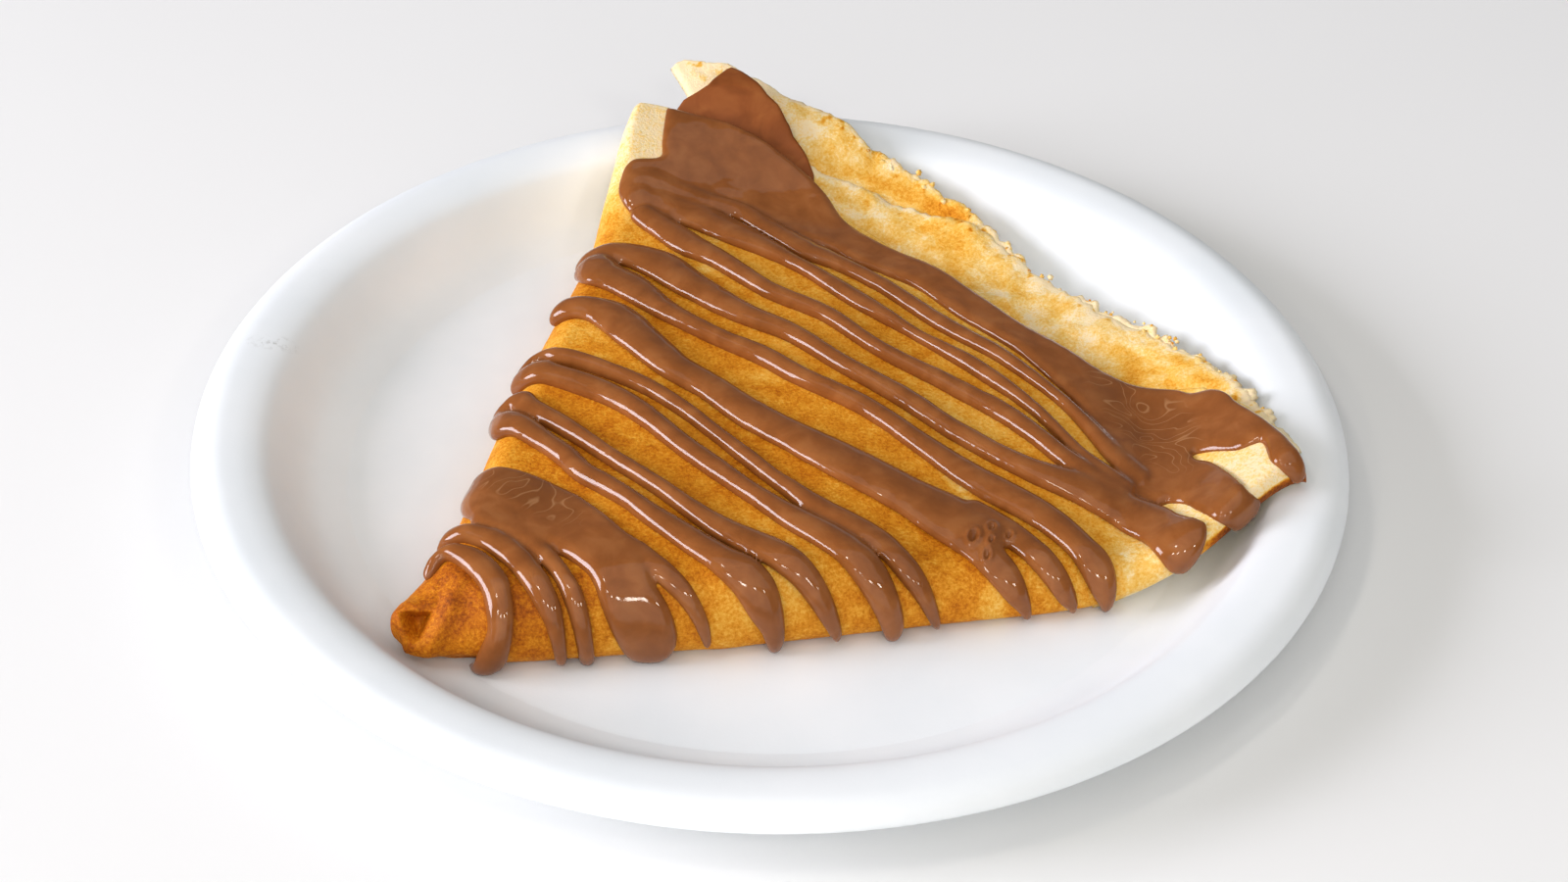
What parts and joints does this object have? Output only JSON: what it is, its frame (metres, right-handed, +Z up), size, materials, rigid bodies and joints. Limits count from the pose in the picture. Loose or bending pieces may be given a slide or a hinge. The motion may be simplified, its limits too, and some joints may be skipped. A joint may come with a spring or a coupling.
{
  "type": "folded crepe on a plate",
  "caption": "Crepe folded into a wedge, spread inside and drizzled across with chocolate, lying on a round shallow plate with a broad flat rim.",
  "frame": {"origin": "centre of the plate's base, on the surface that it stands on", "axes": "+Z up, the crepe's tip points towards -X and -Y and its open arc towards +X and +Y"},
  "size_m": [0.26, 0.26, 0.0335],
  "materials": {
    "plate": "smooth pressed plant fibre with a faint satin sheen",
    "crepe": "griddled batter skin, mottled gold, with glossy chocolate drizzled over it",
    "filling": "soft matte chocolate spread"
  },
  "bodies": {
    "root": {"plate": "plate", "crepe": "crepe", "filling": "filling"}
  },
  "joints": []
}
